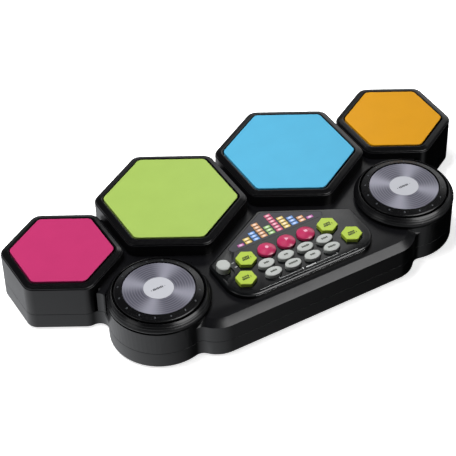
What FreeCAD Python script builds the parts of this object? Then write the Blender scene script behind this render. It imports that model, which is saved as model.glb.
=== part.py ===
"""Tabletop dance rhythm machine: four sprung hexagonal pads, two free-spinning turntables and a
raised panel with fifteen push buttons, a slide switch and a small light display.

Frame: +X to the player's right, +Y away from the player, +Z up. The origin is under the middle of
the machine's plan, on the plane that the rubber feet stand on. All sizes are in millimetres.
"""
import FreeCAD, Part
import math
import os

Vec = FreeCAD.Vector
UP = Vec(0, 0, 1)

# ---- driving dimensions -------------------------------------------------------------------------
FOOT_H = 1.5            # how far the feet lift the case
FOOT_R = 7.0
FOOT_POCKET = 0.6       # how deep each foot is let into the case
WALL = 2.2              # moulded wall of both case halves
SEAM_H = 15.5           # height of the joint between the halves, above the case's underside
SEAM_REVEAL = 0.35      # open line seen at the joint
LIP_H = 2.4             # locating lip that stands inside the joint
LIP_T = 1.2
FIT = 0.15              # clearance of parts that locate in each other
DECK_H = 37.0           # deck surface above the case's underside
BOTTOM_ROUND = 1.2
BEVEL_H = 5.0           # front bevel: drop and depth
BEVEL_D = 6.9
FRONT_REACH = 147.7     # from the large pads' centre line to the front wall
FRONT_HALF = 112.0      # half width of the front block
FRONT_CORNER = 27.0
NOTCH_R = 8.5           # round that blends the outline where two lobes meet
GROOVE_W = 2.0          # groove that sets the pods off from the deck
GROOVE_D = 6.0
ROOM_SIDE = 12.0        # room under the bevelled front of the deck
ROOM_CORNER = 18.0
ROOM_BACK_AHEAD = 70.0

PAD_CORNER = 5.5        # plan radius of the coloured caps' corners
POD_EXTRA = 7.8         # from a cap's flat side to its pod's wall
POD_CORNER = 11.0
POD_GAP = 3.6           # space between neighbouring pods
RIM_EXTRA = 7.1
RIM_CORNER = 10.3
RIM_SINK = 0.8          # rim's top below the cap
RIM_SKIRT_T = 1.8
RIM_SKIRT_H = 11.5
RIM_ROUND = 2.0
SHOULDER_SINK = 3.2     # pod wall's top below the cap
CAP_GAP = 1.3           # open gap between cap and rim
CAP_T = 3.0             # cap's plate, side wall and depth
CAP_WALL = 2.2
CAP_H = 9.0
CAP_EDGE = 0.7
WELL_DEPTH = 13.0       # cap's top to the pod's inner floor
PAD_TRAVEL = 2.0
LEG_PLACE = 0.62        # place of the snap legs and return ring, as shares of the cap's apothem
LEG_W = 8.0
LEG_T = 2.4
HOOK = 1.2
HOOK_H = 1.5
HOOK_GAP = 0.25         # hook below the pod's floor
SENSOR_GAP = 0.3        # boss to sensor with the pad fully down
RING_PLACE = (0.40, 0.52)
PAD_BOSS_R = 8.0
SENSOR_R = 7.0
SENSOR_H = 2.5

LARGE_PAD = dict(size=60.0, top=52.2, ahead=0.0)      # corner radius, top height, place in Y
SMALL_PAD = dict(size=45.5, top=47.7, ahead=6.0)

TABLE_POD_R = 44.3
TABLE_GAP = 7.7249      # turntable pod's wall to the large pod's slanted wall
TABLE_SHIFT = 8.0198    # turntable's axis outward along that wall, from the middle of it
TABLE_POD_H = 37.6
LIP_R = 44.6            # bezel: lip over a shadow gap, then a shoulder up to the inner edge
LIP_RISE = 3.2
LIP_EDGE = 0.6
SHADOW_GAP = 1.4
SHOULDER_BULGE = 0.25
BEZEL_FOOT_T = 2.2
BEZEL_INNER_R = 39.8
BEZEL_RISE = 9.3
BEZEL_SEAT_R = 38.6
PLATTER_R = 38.1
PLATTER_RISE = 9.9      # platter's outer edge above the turntable pod
PLATTER_T = 2.4
PLATTER_SKIRT_H = 6.0
PLATTER_SKIRT_T = 2.0
PLATTER_EDGE = 0.8
CROWN_R = 31.7          # raised inner edge that holds the record
CROWN_RISE = 2.5        # above the outer edge
CROWN_SINK = 2.3        # depth of the record's recess
HUB_R = 8.0
SHAFT_R = 4.0
SPIN_FIT = 0.15         # running clearance of the shaft
BUSH_R = 6.5
BUSH_FLANGE_R = 10.0
BUSH_FLANGE_T = 1.5
BUSH_REACH = 3.0        # bushing below and above the pod's plate
BUSH_RISE = 3.5
RECORD_R = 30.8
RECORD_T = 1.5
LABEL_R = 12.9
LABEL_T = 0.3
SPINDLE_R = 1.6
SPINDLE_GAP = 0.1
WHEEL_R = 15.0
WHEEL_T = 1.5
WHEEL_SLOTS = 12
WHEEL_SLOT_LONG = 4.0
WHEEL_SLOT_W = 1.6
WHEEL_SLOT_IN = 3.4     # slot's centre from the wheel's edge
SENSOR_SLOT = 0.5       # clearance of the encoder wheel in its sensor
FORK_W = 9.0
FORK_T = 2.5
FORK_OVERLAP = 4.0      # how far the fork reaches over the wheel, and past its edge
FORK_REACH = 3.0

PANEL_RISE = 5.3        # raised panel above the deck
PANEL_T = 2.4
PANEL_HALF = 72.0
PANEL_APEX_AHEAD = 45.4
PANEL_SHOULDER_AHEAD = 85.0
PANEL_FRONT_AHEAD = 136.0
PANEL_CORNER = 23.0
PANEL_SHOULDER_R = 4.0
PANEL_APEX_R = 5.0
PANEL_ROUND = 2.2
PANEL_LEDGE = 4.0       # width of deck left under the panel's edge
WINDOW_INSET = 3.6
WINDOW_T = 1.5
WINDOW_LEDGE = 0.9
WINDOW_FRONT_AHEAD = 81.5
WINDOW_CORNER = 2.5
WINDOW_CLIP_X = 2.6     # slanted cuts at the window's front corners
WINDOW_CLIP_Y = 5.5

BUTTON_GAP = 0.3        # cap to panel hole
BUTTON_TRAVEL = 1.3
BUTTON_FLANGE_T = 1.5
BUTTON_FLANGE = 0.8
PLUNGER_R = 3.0
PLUNGER_GAP = 0.3       # plunger to keypad with the button fully down
DOME_R = 8.1
DOME_PITCH = 19.7
DOME_AHEAD = 94.7
DOME_WALL = 2.2         # straight part above the panel, then the dome
DOME_RISE = 4.8
HEX_SIZE = 9.4
HEX_CORNER = 0.8
HEX_RISE = 3.3
HEX_ROUND = 0.9
HEX_PLACES = ((-41.2, 96.1), (41.2, 96.1), (-53.3, 116.5), (53.3, 116.5))
OVAL_X = 15.4
OVAL_Y = 10.3
OVAL_RISE = 3.5
OVAL_ROUND = 1.1
OVAL_TAB_X = 18.4
OVAL_TAB_Y = 6.0
OVAL_COLUMNS = (-29.3, -9.8, 9.8, 29.3)
OVAL_ROWS = (109.9, 121.8)

KNOB_X = -62.9          # slide switch, with the knob at the rear of its slot
KNOB_AHEAD = 94.9
KNOB_R = 5.9
KNOB_LONG = 1.2         # straight part between the knob's round ends
KNOB_RISE = 5.6
KNOB_SINK = 0.9
KNOB_TRAVEL = 5.0
KNOB_ROUND = 1.6
RECESS_DEPTH = 1.2
RECESS_GAP = 0.7
STEM_X = 3.0
STEM_Y = 4.0
STEM_GAP = 0.4
STEM_REACH = 2.5
SWITCH_X = 7.4
SWITCH_H = 5.0

BOARD_T = 1.6
BOARD_DROP = 9.9        # panel's underside down to the board's top
BOARD_INSET = 7.0
KEYPAD_T = 1.2
KEYPAD_BUMP = 0.3
KEYPAD_HALF = 62.0
KEYPAD_CORNER = 14.0
KEYPAD_BACK_AHEAD = 88.0
KEYPAD_FRONT_AHEAD = 123.4
POST_R = 3.0
POST_PLACES = ((-50.0, 84.5), (50.0, 84.5), (-41.5, 126.8), (41.5, 126.8))
CELL_X = 6.0            # light guides of the display
CELL_Y = 3.1
CELL_PITCH_X = 7.82
CELL_PITCH_Y = 4.1
CELL_FRONT_AHEAD = 78.6
COLUMN_CELLS = (1, 2, 3, 5, 3, 6, 4, 3, 2, 1)

SCREW_R = 1.45
SCREW_HEAD_R = 2.9
SCREW_HEAD_H = 2.0
SCREW_SEAT = 7.5        # head's seat above the case's underside
SCREW_BITE = 7.0        # length in the upper boss
BOSS_R = 4.2
SCREW_PLACES = ((-202.0, 6.0), (202.0, 6.0), (-96.2, -20.0), (96.2, -20.0),
                (-86.0, 122.0), (86.0, 122.0), (0.0, 37.0))
BOARD_SCREW_R = 1.1
BOARD_SCREW_BITE = 5.0

SPEAKER_AHEAD = 1.0
SPEAKER_R = 28.0
SPEAKER_H = 20.0
SPEAKER_FLANGE_T = 2.2
SPEAKER_BACK_R = 14.0
SPEAKER_T = 1.2
CONE_R = 22.4
CONE_T = 0.8
CONE_CAP_R = 8.0
CONE_FRONT = 0.4        # cone's edge and centre above the case's floor
CONE_DEPTH = 8.5
GRILLE_R = 21.0
GRILLE_SLOT = 2.4
GRILLE_PITCH = 5.2

CELL_LENGTH = 50.5      # batteries
CELL_R = 7.25
CELL_GAP = 0.5          # between neighbouring cells
CELL_COUNT = 4
BAY_AHEAD = 85.0
BAY_END = 3.2           # room for the contacts at each end of a cell
BAY_SIDE = 0.75
BAY_LIFT = 0.5          # cells above the closed door
CONTACT_T = 0.5
CONTACT_SIZE = 10.0
SPRING_R = 3.2
DOOR_GAP = 0.3
DOOR_ANGLE = 30.0       # how far the battery door tilts out
TAB_W = 10.0
TAB_T = 1.5
TAB_REACH = 3.0
TAB_SLOT_H = 4.6
TAB_SHARE = 0.6         # place of the tabs along the half length
GRIP_LONG = 16.0        # finger grooves in the door
GRIP_W = 0.8
GRIP_DEPTH = 0.5
GRIP_PITCH = 2.0
GRIP_COUNT = 4
GRIP_FROM_EDGE = 6.0

FEET_PLACES = ((-172.0, 6.0), (172.0, 6.0), (-61.6, -30.0), (61.6, -30.0))     # two more under the turntables

# ---- values worked out from them ----------------------------------------------------------------
COS30 = math.cos(math.pi / 6)


def apothem(pad):
    return pad["size"] * COS30


def corner_reach(flat, corner):
    """Distance from a rounded hexagon's centre to its corner, for a given apothem."""
    return (flat - corner) / COS30 + corner


PADS_Y = (FRONT_REACH - corner_reach(apothem(LARGE_PAD) + POD_EXTRA, POD_CORNER)) / 2


def ahead(distance):
    """Y of a line that far in front of the large pads' centre line."""
    return PADS_Y - distance


BASE_Z = FOOT_H
FLOOR_Z = BASE_Z + WALL
SEAM_Z = BASE_Z + SEAM_H
DECK_Z = BASE_Z + DECK_H
DECK_UNDER = DECK_Z - WALL
BEVEL_Z = DECK_Z - BEVEL_H
TABLE_Z = BASE_Z + TABLE_POD_H
TABLE_UNDER = TABLE_Z - WALL
FRONT_Y = ahead(FRONT_REACH)
CROWN_Z = TABLE_Z + PLATTER_RISE + CROWN_RISE
RECORD_Z = CROWN_Z - CROWN_SINK
PANEL_Z = DECK_Z + PANEL_RISE
PANEL_UNDER = PANEL_Z - PANEL_T
WINDOW_Z = PANEL_Z - WINDOW_T
BOARD_TOP = PANEL_UNDER - BOARD_DROP
KEYPAD_TOP = BOARD_TOP + KEYPAD_T + KEYPAD_BUMP
PLUNGER_END = KEYPAD_TOP + BUTTON_TRAVEL + PLUNGER_GAP
WHEEL_TOP = TABLE_UNDER - BUSH_REACH - SENSOR_SLOT
CELL_SPACING = 2 * CELL_R + CELL_GAP
HIGH = BASE_Z + 200.0   # above everything, for cutters

LARGE_X = apothem(LARGE_PAD) + POD_EXTRA + POD_GAP / 2
TABLE_REACH = apothem(LARGE_PAD) + POD_EXTRA + TABLE_GAP + TABLE_POD_R
TABLE_X = LARGE_X + TABLE_REACH / 2 + TABLE_SHIFT * COS30
TABLE_AHEAD = TABLE_REACH * COS30 - TABLE_SHIFT / 2
TABLE_Y = ahead(TABLE_AHEAD)
SMALL_X = LARGE_X + apothem(LARGE_PAD) + apothem(SMALL_PAD) + 2 * POD_EXTRA + POD_GAP
PADS = {
    "outer_left": dict(SMALL_PAD, x=-SMALL_X),
    "inner_left": dict(LARGE_PAD, x=-LARGE_X),
    "inner_right": dict(LARGE_PAD, x=LARGE_X),
    "outer_right": dict(SMALL_PAD, x=SMALL_X),
}
for pad in PADS.values():
    pad["y"] = ahead(pad["ahead"])
    pad["flat"] = apothem(pad)
    pad["z"] = BASE_Z + pad["top"]
    pad["floor"] = pad["z"] - WELL_DEPTH
SIDES = {"left": -1, "right": 1}

# ---- helpers ------------------------------------------------------------------------------------


def outline(corners):
    """Closed face through (x, y, radius) corners, each rounded by an arc."""
    joints = []
    for i, (x, y, radius) in enumerate(corners):
        here = Vec(x, y, 0)
        back = (Vec(*corners[i - 1][:2], 0) - here).normalize()
        on = (Vec(*corners[(i + 1) % len(corners)][:2], 0) - here).normalize()
        half = back.getAngle(on) / 2
        cut = radius / math.tan(half)
        middle = here + (back + on).normalize() * (radius / math.sin(half) - radius)
        joints.append((here + back * cut, middle, here + on * cut, radius))
    edges = []
    for i, (start, middle, end, radius) in enumerate(joints):
        if radius > 0:
            edges.append(Part.Arc(start, middle, end).toShape())
        following = joints[(i + 1) % len(joints)][0]
        if (following - end).Length > 1e-6:
            edges.append(Part.LineSegment(end, following).toShape())
    return Part.Face(Part.Wire(edges))


def hexagon(x, y, flat, corner):
    """Rounded hexagon with corners towards +Y and -Y and flat sides towards +X and -X."""
    size = flat / COS30
    turns = [math.radians(90 + 60 * k) for k in range(6)]
    return outline([(x + size * math.cos(a), y + size * math.sin(a), corner) for a in turns])


def disc(x, y, radius):
    return Part.Face(Part.Wire(Part.makeCircle(radius, Vec(x, y, 0)).Edges))


def slab(face, low, high):
    """Straight solid over a face, between two heights."""
    solid = face.extrude(Vec(0, 0, high - low))
    solid.translate(Vec(0, 0, low))
    return solid


def rod(x, y, radius, low, high):
    return Part.makeCylinder(radius, high - low, Vec(x, y, low))


def tube(x, y, outer, inner, low, high):
    return rod(x, y, outer, low, high).cut(rod(x, y, inner, low - 1, high + 1))


def block(x, y, size_x, size_y, low, high):
    """Box centred on x, y."""
    return Part.makeBox(size_x, size_y, high - low, Vec(x - size_x / 2, y - size_y / 2, low))


def turned(x, y, profile):
    """Solid of revolution about a vertical axis, from (radius, z) points."""
    place = [Vec(x + r, y, z) for r, z in profile]
    wire = Part.makePolygon(place + [place[0]])
    return Part.Face(wire).revolve(Vec(x, y, 0), UP, 360)


def fused(shapes):
    shapes = list(shapes)
    return shapes[0].multiFuse(shapes[1:]).removeSplitter() if len(shapes) > 1 else shapes[0]


def without(shape, cutters):
    return shape.cut(list(cutters)).removeSplitter()


def edges_at(shape, height):
    """Edges that lie flat at a height."""
    return [edge for edge in shape.Edges
            if abs(edge.BoundBox.ZMin - height) < 1e-4 and abs(edge.BoundBox.ZMax - height) < 1e-4]


def grown(face, distance):
    return Part.Face(face.OuterWire).makeOffset2D(distance, join=0).Faces[0]


def base_of(solid, low):
    """Largest face of a solid that lies at its lowest height, with its holes filled."""
    faces = [f for f in solid.Faces if f.BoundBox.ZMax - low < 1e-5]
    return Part.Face(max(faces, key=lambda f: f.Area).OuterWire)


# ---- outlines -----------------------------------------------------------------------------------


def pod_face(pad, extra=POD_EXTRA, corner=POD_CORNER):
    return hexagon(pad["x"], pad["y"], pad["flat"] + extra, corner)


def case_face():
    """Plan of the case: the pods, turntable lobes and front block, blended where they meet."""
    deep = ahead(20.0)
    faces = [pod_face(pad) for pad in PADS.values()]
    for side in SIDES.values():
        faces.append(disc(side * TABLE_X, TABLE_Y, TABLE_POD_R))
        faces.append(outline([(side * LARGE_X, PADS_Y + 20, 0), (side * SMALL_X, PADS_Y + 14, 0),
                              (side * SMALL_X, ahead(40.0), 0), (side * TABLE_X, TABLE_Y, 0),
                              (side * LARGE_X, ahead(50.0), 0)]))
    faces.append(outline([(-FRONT_HALF, FRONT_Y, FRONT_CORNER), (FRONT_HALF, FRONT_Y, FRONT_CORNER),
                          (FRONT_HALF, deep, 0), (-FRONT_HALF, deep, 0)]))
    whole = base_of(fused(slab(face, 0, 1) for face in faces), 0)
    return grown(grown(whole, NOTCH_R), -NOTCH_R)


def panel_face(inset=0.0):
    """Home-plate outline of the raised panel, or the same outline moved inwards."""
    roof = math.atan2(PANEL_SHOULDER_AHEAD - PANEL_APEX_AHEAD, PANEL_HALF)
    half = PANEL_HALF - inset
    apex = ahead(PANEL_APEX_AHEAD + inset / math.cos(roof))
    shoulder = apex - half * math.tan(roof)
    front = ahead(PANEL_FRONT_AHEAD - inset)
    corner = PANEL_CORNER - inset
    return outline([(-half, front, corner), (half, front, corner), (half, shoulder, PANEL_SHOULDER_R),
                    (0, apex, PANEL_APEX_R), (-half, shoulder, PANEL_SHOULDER_R)])


def window_face(inset=0.0):
    """Display window: the top of the panel's outline, closed by a straight front edge."""
    roof = math.atan2(PANEL_SHOULDER_AHEAD - PANEL_APEX_AHEAD, PANEL_HALF)
    apex = ahead(PANEL_APEX_AHEAD + (WINDOW_INSET + inset) / math.cos(roof))
    front = ahead(WINDOW_FRONT_AHEAD - inset)
    side = ahead(WINDOW_FRONT_AHEAD - WINDOW_CLIP_Y)
    half = (apex - side) / math.tan(roof)
    low = half - WINDOW_CLIP_X
    return outline([(-low, front, WINDOW_CORNER), (low, front, WINDOW_CORNER), (half, side, WINDOW_CORNER),
                    (0, apex, PANEL_APEX_R), (-half, side, WINDOW_CORNER)])


def racetrack(x, y, radius, straight):
    """Round-ended outline, long in Y, whose rear centre is at x, y."""
    front = y - straight
    return outline([(x - radius, front - radius, radius), (x + radius, front - radius, radius),
                    (x + radius, y + radius, radius), (x - radius, y + radius, radius)])


def ellipse(x, y, size_x, size_y):
    curve = Part.Ellipse(Vec(x, y, 0), size_x / 2, size_y / 2)
    return Part.Face(Part.Wire(curve.toShape()))


# ---- case ---------------------------------------------------------------------------------------


def feet_places():
    return FEET_PLACES + ((-TABLE_X, TABLE_AHEAD), (TABLE_X, TABLE_AHEAD))


def bay_box():
    """Inner size of the battery bay: half length, half width and roof height."""
    half_x = CELL_LENGTH / 2 + BAY_END
    half_y = CELL_COUNT * CELL_SPACING / 2 + BAY_SIDE - CELL_GAP / 2
    return half_x, half_y, FLOOR_Z + BAY_LIFT + 2 * CELL_R + BAY_LIFT


def lower_case(face):
    shell = slab(face, BASE_Z, SEAM_Z)
    shell = shell.makeFillet(BOTTOM_ROUND, edges_at(shell, BASE_Z))
    inner = grown(face, -WALL)
    half_x, half_y, roof = bay_box()
    lip = slab(inner, FLOOR_Z, SEAM_Z + LIP_H).cut(slab(grown(inner, -LIP_T), 0, HIGH))
    lip = lip.cut(groove_cutter(face, WALL + FIT))
    shell = fused([shell.cut(slab(inner, FLOOR_Z, HIGH)), lip])
    bay = block(0, ahead(BAY_AHEAD), 2 * (half_x + WALL), 2 * (half_y + WALL), BASE_Z, roof + WALL)
    bosses = [rod(x, ahead(y), BOSS_R, FLOOR_Z - 0.5, SEAM_Z) for x, y in SCREW_PLACES]
    ring = tube(0, ahead(SPEAKER_AHEAD), SPEAKER_R + FIT + WALL, SPEAKER_R + FIT, FLOOR_Z - 0.5, FLOOR_Z + 3)
    shell = fused([shell, bay, ring] + bosses)
    cuts = [block(0, ahead(BAY_AHEAD), 2 * half_x, 2 * half_y, 0, roof)]
    for side in (-1, 1):
        cuts.append(block(side * half_x * TAB_SHARE, ahead(BAY_AHEAD) + half_y + WALL / 2, TAB_W + 2 * DOOR_GAP,
                          WALL + 0.5, FLOOR_Z, FLOOR_Z + TAB_SLOT_H))
    for x, y in SCREW_PLACES:
        cuts.append(rod(x, ahead(y), SCREW_HEAD_R + 2 * FIT, 0, BASE_Z + SCREW_SEAT))
        cuts.append(rod(x, ahead(y), SCREW_R + FIT, 0, HIGH))
    for x, y in feet_places():
        cuts.append(rod(x, ahead(y), FOOT_R + FIT, 0, BASE_Z + FOOT_POCKET))
    reach = int(GRILLE_R / GRILLE_PITCH)
    for k in range(-reach, reach + 1):
        across = 2 * math.sqrt(GRILLE_R ** 2 - (k * GRILLE_PITCH) ** 2)
        cuts.append(block(0, ahead(SPEAKER_AHEAD) + k * GRILLE_PITCH, across, GRILLE_SLOT, 0, FLOOR_Z + 1))
    return without(shell, cuts)


def groove_cutter(face, spread=0.0):
    """Grooves round the pods and behind the turntable lobes, cut in from the case's outline."""
    inside = slab(grown(face, -(GROOVE_D + spread)), 0, HIGH)
    low = SEAM_Z + SEAM_REVEAL
    cutters = []
    for pad in PADS.values():
        outer = hexagon(pad["x"], pad["y"], pad["flat"] + POD_EXTRA + GROOVE_W + spread, POD_CORNER + GROOVE_W)
        body = slab(outer, low, HIGH)
        cutters.append(body.cut([inside, slab(pod_face(pad, POD_EXTRA - spread), 0, HIGH)]))
    for side in SIDES.values():
        ring = tube(side * TABLE_X, TABLE_Y, TABLE_POD_R + GROOVE_W + spread, TABLE_POD_R - spread, low, HIGH)
        behind = block(side * TABLE_X, TABLE_Y + 100, 400, 200, 0, HIGH)
        cutters.append(ring.common(behind).cut(inside))
    return cutters


def deck_body(face):
    """Deck over the whole plan, with the front edge bevelled between the turntables."""
    low = slab(face, SEAM_Z + SEAM_REVEAL, BEVEL_Z)
    top = slab(face, BEVEL_Z, DECK_Z).common(block(0, TABLE_Y + 200, 600, 400, 0, HIGH))
    steps = [face, grown(face, -BEVEL_D)]
    rings = []
    for step, height in zip(steps, (BEVEL_Z, DECK_Z)):
        wire = step.OuterWire.copy()
        wire.translate(Vec(0, 0, height))
        rings.append(wire)
    front = Part.makeLoft(rings, True, True).common(block(0, TABLE_Y - 200, 600, 400, 0, HIGH))
    return fused([low, top, front])


def upper_case(face):
    """Deck, pods and turntable lobes. The grooves free a sliver in the notch between the large pods,
    and only the deck itself is kept."""
    shell = deck_body(face)
    grooves = groove_cutter(face)
    pods = []
    for pad in PADS.values():
        pod = slab(pod_face(pad), SEAM_Z + SEAM_REVEAL, pad["z"] - SHOULDER_SINK)
        pods.append(pod.makeFillet(0.5, edges_at(pod, pad["z"] - SHOULDER_SINK)))
    for side in SIDES.values():
        pods.append(rod(side * TABLE_X, TABLE_Y, TABLE_POD_R, SEAM_Z + SEAM_REVEAL, TABLE_Z))
    keep = [slab(pod_face(pad), 0, HIGH) for pad in PADS.values()]
    keep += [rod(side * TABLE_X, TABLE_Y, TABLE_POD_R, 0, HIGH) for side in SIDES.values()]
    cutters = [groove.cut(keep) for groove in grooves]
    deck = max(shell.cut(cutters).Solids, key=lambda solid: solid.Volume)
    return hollowed_upper(fused([deck] + pods), face)


def hollowed_upper(shell, face):
    """Cut the room under the deck, pods and turntables, and add bosses for the screws."""
    ceiling = min(SMALL_PAD["top"] + BASE_Z - WELL_DEPTH - WALL, DECK_UNDER) - 0.3
    low = slab(grown(face, -WALL), 0, ceiling)
    guard = groove_cutter(face, WALL)
    rooms = [low.cut(guard)]
    half, front, back = FRONT_HALF - ROOM_SIDE, FRONT_Y + BEVEL_D + WALL, ahead(ROOM_BACK_AHEAD)
    rooms.append(slab(outline([(-half, front, ROOM_CORNER), (half, front, ROOM_CORNER), (half, back, 0),
                               (-half, back, 0)]), ceiling - 1, DECK_UNDER))
    for pad in PADS.values():
        well = pod_face(pad, POD_EXTRA - WALL, POD_CORNER - WALL)
        rooms.append(slab(well, ceiling - 1, pad["floor"] - WALL))
        rooms.append(slab(well, pad["floor"], HIGH))
    for side in SIDES.values():
        rooms.append(rod(side * TABLE_X, TABLE_Y, TABLE_POD_R - WALL, ceiling - 1, TABLE_UNDER))
        rooms.append(rod(side * TABLE_X, TABLE_Y, BUSH_R + FIT, 0, HIGH))
    rooms.append(slab(panel_face(PANEL_LEDGE), 0, HIGH))
    for pad in PADS.values():
        rooms += leg_slots(pad)
    bosses = [rod(x, ahead(y), BOSS_R, SEAM_Z, top_over(x, y)) for x, y in SCREW_PLACES]
    holes = [rod(x, ahead(y), SCREW_R + 0.05, 0, SEAM_Z + SCREW_BITE + 0.5) for x, y in SCREW_PLACES]
    return without(fused([without(shell, rooms)] + bosses), holes)


def top_over(x, y):
    """Height inside the ceiling above a screw boss."""
    for pad in PADS.values():
        if math.hypot(x - pad["x"], ahead(y) - pad["y"]) < pad["flat"]:
            return pad["floor"] - WALL / 2
    return DECK_Z - WALL / 2


def leg_places(pad):
    """Angle and centre of each snap leg of a pad."""
    for angle in (90, 210, 330):
        turn = math.radians(angle)
        reach = pad["flat"] * LEG_PLACE
        yield angle, pad["x"] + reach * math.cos(turn), pad["y"] + reach * math.sin(turn)


def turned_block(x, y, angle, size_out, size_across, low, high, shift=0.0):
    """Box whose first side points along an angle in plan."""
    box = Part.makeBox(size_out, size_across, high - low, Vec(-size_out / 2 + shift, -size_across / 2, low))
    box.rotate(Vec(0, 0, 0), UP, angle)
    box.translate(Vec(x, y, 0))
    return box


def leg_slots(pad):
    slots = []
    for angle, x, y in leg_places(pad):
        slots.append(turned_block(x, y, angle, LEG_T + HOOK + 1.0, LEG_W + 1.0,
                                  pad["floor"] - WALL - 0.1, pad["floor"] + 0.1, HOOK / 2))
    return slots


# ---- pads ---------------------------------------------------------------------------------------


def pad_cap(pad):
    """Coloured cap with a centre boss and three snap legs."""
    top, floor = pad["z"], pad["floor"]
    cap = slab(hexagon(pad["x"], pad["y"], pad["flat"], PAD_CORNER), top - CAP_H, top)
    cap = cap.makeFillet(CAP_EDGE, edges_at(cap, top))
    cap = cap.cut(slab(hexagon(pad["x"], pad["y"], pad["flat"] - CAP_WALL, PAD_CORNER - CAP_WALL),
                       top - CAP_H - 1, top - CAP_T))
    boss_end = floor + SENSOR_H + PAD_TRAVEL + SENSOR_GAP
    parts = [cap, rod(pad["x"], pad["y"], PAD_BOSS_R, boss_end, top - CAP_T + 0.5)]
    under = floor - WALL - HOOK_GAP
    for angle, x, y in leg_places(pad):
        parts.append(turned_block(x, y, angle, LEG_T, LEG_W, under - HOOK_H, top - CAP_T + 0.5))
        parts.append(turned_block(x, y, angle, LEG_T + HOOK, LEG_W, under - HOOK_H, under, HOOK / 2))
    return fused(parts)


def pad_rim(pad):
    """Gloss rim that seats on the pod's wall and guides the cap."""
    x, y, flat, top = pad["x"], pad["y"], pad["flat"], pad["z"]
    inner = hexagon(x, y, flat + CAP_GAP, PAD_CORNER + CAP_GAP)
    flange = slab(hexagon(x, y, flat + RIM_EXTRA, RIM_CORNER), top - SHOULDER_SINK, top - RIM_SINK)
    flange = flange.makeFillet(RIM_ROUND, edges_at(flange, top - RIM_SINK))
    skirt = slab(hexagon(x, y, flat + CAP_GAP + RIM_SKIRT_T, PAD_CORNER + CAP_GAP + RIM_SKIRT_T),
                 top - RIM_SKIRT_H, top - SHOULDER_SINK)
    return without(fused([flange, skirt]), [slab(inner, 0, HIGH)])


def pad_return_ring(pad):
    """Soft ring that pushes the cap back up."""
    near, far = (share * pad["flat"] for share in RING_PLACE)
    return tube(pad["x"], pad["y"], far, near, pad["floor"], pad["z"] - CAP_T)


def pad_sensors():
    return [rod(pad["x"], pad["y"], SENSOR_R, pad["floor"], pad["floor"] + SENSOR_H) for pad in PADS.values()]


# ---- turntables ---------------------------------------------------------------------------------


def bezel(x):
    """Gloss ring on a turntable pod: foot, lip over a shadow gap, and a shoulder that bulges a little."""
    lip = TABLE_Z + LIP_RISE
    crown = TABLE_Z + BEZEL_RISE
    foot_r = LIP_R - SHADOW_GAP
    outer = [(BEZEL_SEAT_R, TABLE_Z), (foot_r, TABLE_Z), (foot_r, lip - LIP_EDGE), (LIP_R, lip - LIP_EDGE),
             (LIP_R, lip)]
    shoulder = []
    for k in range(1, 8):
        share = k / 8
        bulge = SHOULDER_BULGE * math.sin(math.pi * share)
        radius = LIP_R + (BEZEL_INNER_R + LIP_EDGE - LIP_R) * share
        shoulder.append((radius + bulge, lip + (crown - lip) * share + bulge))
    inner = [(BEZEL_INNER_R + LIP_EDGE, crown), (BEZEL_INNER_R, crown - LIP_EDGE),
             (BEZEL_INNER_R, TABLE_Z + BEZEL_FOOT_T), (BEZEL_SEAT_R, TABLE_Z + BEZEL_FOOT_T)]
    return turned(x, TABLE_Y, outer + shoulder + inner)


def platter(x):
    """Spinning platter with its hub, shaft and centre spindle in one piece. Its top is a cone that falls
    from the raised edge round the record to the rounded outer edge."""
    top = TABLE_Z + PLATTER_RISE
    low = top - PLATTER_SKIRT_H
    under = RECORD_Z - PLATTER_T
    hub_end = TABLE_Z + BUSH_FLANGE_T + BUSH_RISE + SPIN_FIT
    spindle_end = RECORD_Z + RECORD_T + LABEL_T
    edge = PLATTER_EDGE
    profile = [(0, spindle_end), (SPINDLE_R, spindle_end), (SPINDLE_R, RECORD_Z), (CROWN_R - edge / 2, RECORD_Z),
               (CROWN_R - edge / 2, CROWN_Z - edge / 2), (CROWN_R, CROWN_Z), (PLATTER_R - edge, top),
               (PLATTER_R - edge * 0.3, top - edge * 0.4), (PLATTER_R, top - edge), (PLATTER_R, low),
               (PLATTER_R - PLATTER_SKIRT_T, low), (PLATTER_R - PLATTER_SKIRT_T, under), (HUB_R, under),
               (HUB_R, hub_end), (SHAFT_R, hub_end), (SHAFT_R, WHEEL_TOP - WHEEL_T), (0, WHEEL_TOP - WHEEL_T)]
    return turned(x, TABLE_Y, profile)


def record_disc(x):
    return tube(x, TABLE_Y, RECORD_R, SPINDLE_R + SPINDLE_GAP, RECORD_Z, RECORD_Z + RECORD_T)


def record_label(x):
    low = RECORD_Z + RECORD_T
    return tube(x, TABLE_Y, LABEL_R, SPINDLE_R + SPINDLE_GAP, low, low + LABEL_T)


def bushing(x):
    """Flanged bushing in the turntable pod's plate."""
    bore = SHAFT_R + SPIN_FIT
    flange = tube(x, TABLE_Y, BUSH_FLANGE_R, bore, TABLE_Z, TABLE_Z + BUSH_FLANGE_T)
    sleeve = tube(x, TABLE_Y, BUSH_R, bore, TABLE_UNDER - BUSH_REACH, TABLE_Z + BUSH_FLANGE_T + BUSH_RISE)
    return fused([flange, sleeve])


def encoder_wheel(x):
    """Slotted wheel fixed on the shaft's end."""
    low = WHEEL_TOP - WHEEL_T
    wheel = tube(x, TABLE_Y, WHEEL_R, SHAFT_R, low, WHEEL_TOP)
    slots = []
    for k in range(WHEEL_SLOTS):
        slots.append(turned_block(x, TABLE_Y, 360 * k / WHEEL_SLOTS, WHEEL_SLOT_LONG, WHEEL_SLOT_W, low - 1,
                                  WHEEL_TOP + 1, WHEEL_R - WHEEL_SLOT_IN))
    return without(wheel, slots)


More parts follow.
